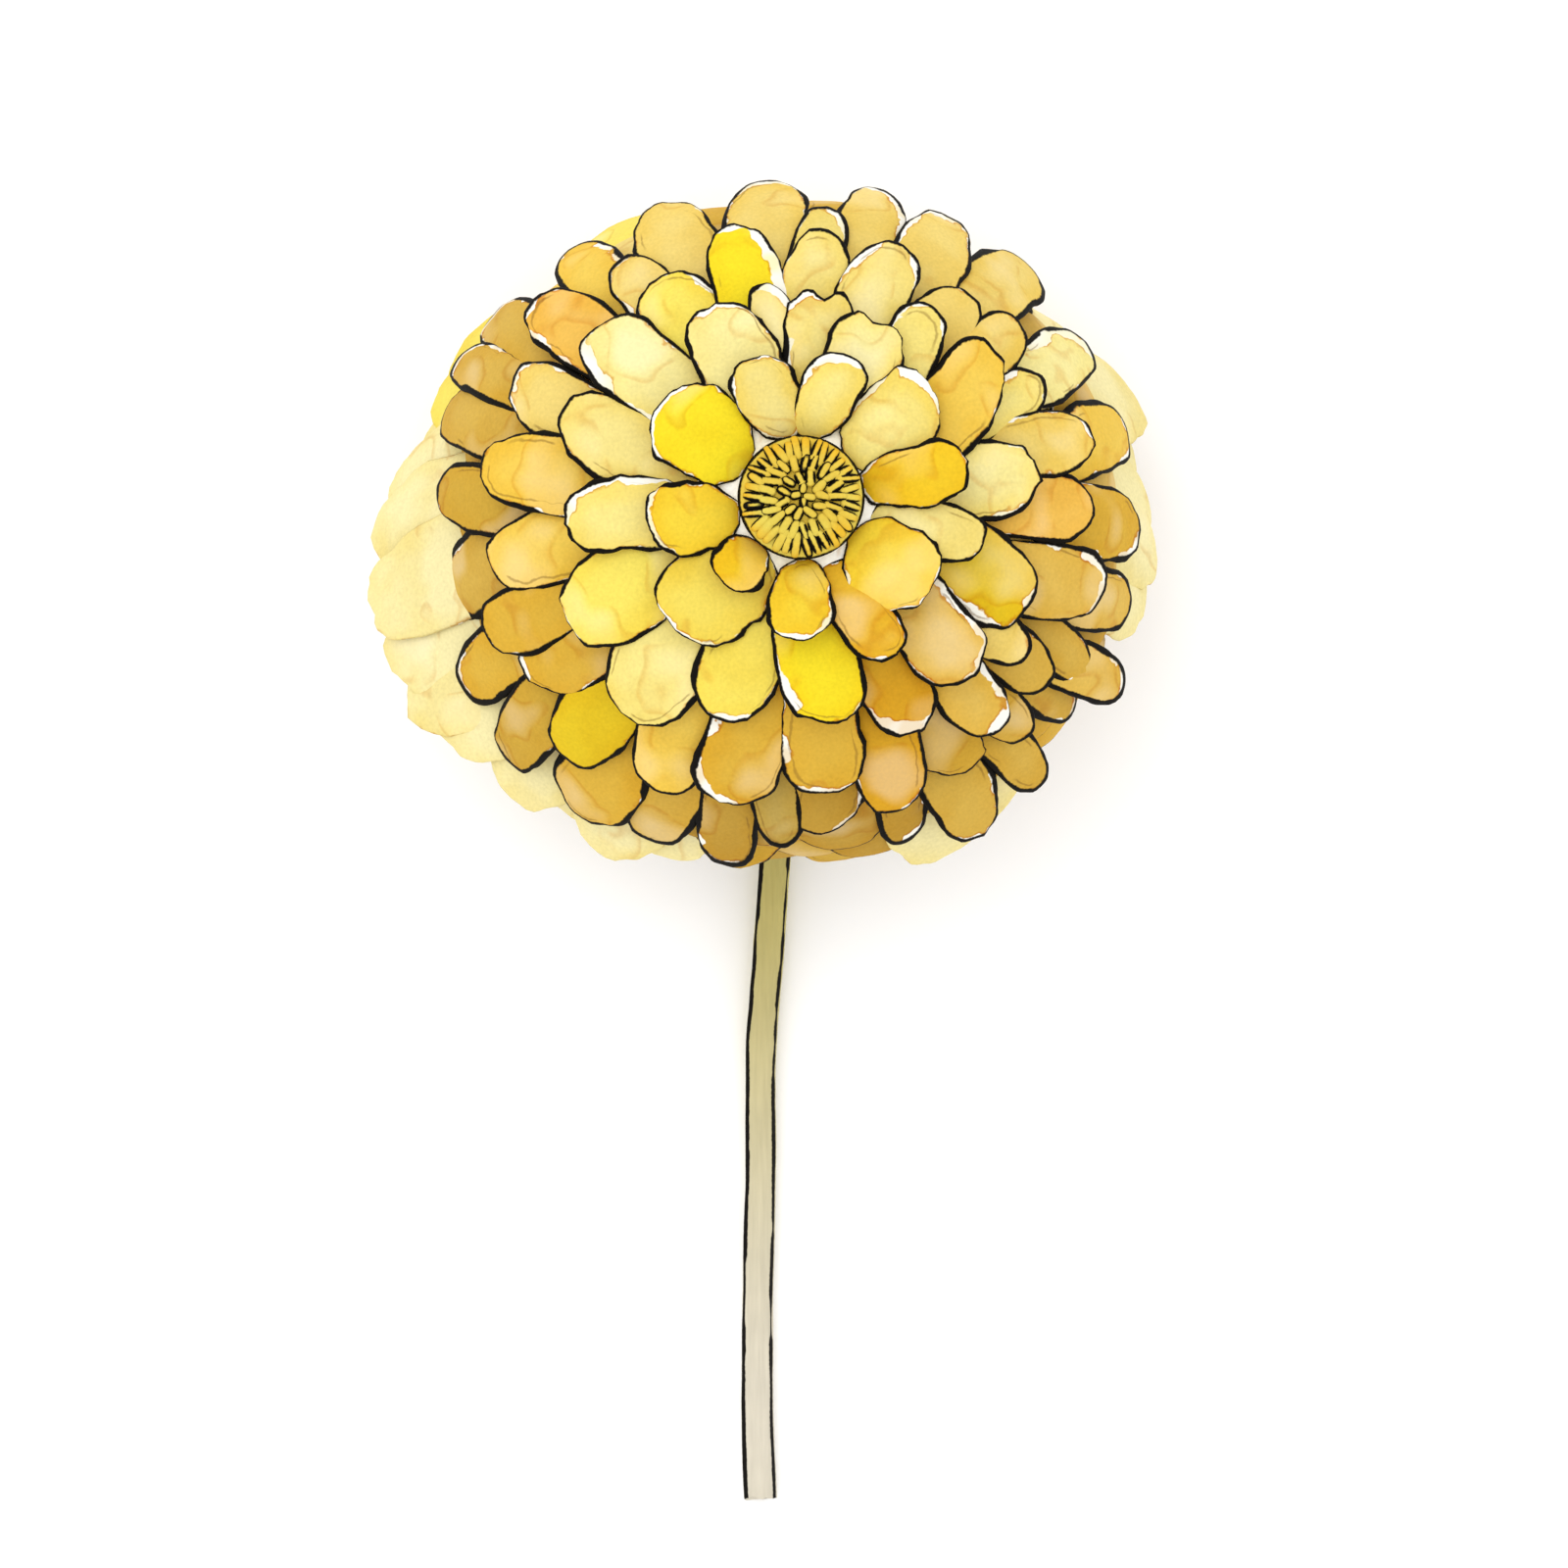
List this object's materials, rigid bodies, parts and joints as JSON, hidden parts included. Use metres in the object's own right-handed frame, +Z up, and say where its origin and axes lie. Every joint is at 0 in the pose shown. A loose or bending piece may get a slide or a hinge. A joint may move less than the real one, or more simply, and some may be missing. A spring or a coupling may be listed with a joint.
{
  "type": "billy buttons stem",
  "caption": "Cut flower lying down: a ball-shaped head of round overlapping yellow petals round a small button eye, on one bare slim stem.",
  "frame": {"origin": "middle of the whole flower's box on the surface that it lies on", "axes": "+Z up from the surface and out of the flower's face, +Y along the stem from its cut end towards the head, +X to the right of the face"},
  "size_m": [0.0437, 0.0746, 0.0343],
  "materials": {
    "stem": "matt dry stalk",
    "ochre_petal": "matt papery petal, dark at its margin",
    "yellow_petal": "matt papery petal, dark at its margin",
    "floret": "matt, fine florets"
  },
  "bodies": {
    "root": {"stem": "stem", "outer_petals": "ochre_petal", "inner_petals": "yellow_petal", "eye": "floret"}
  },
  "joints": []
}
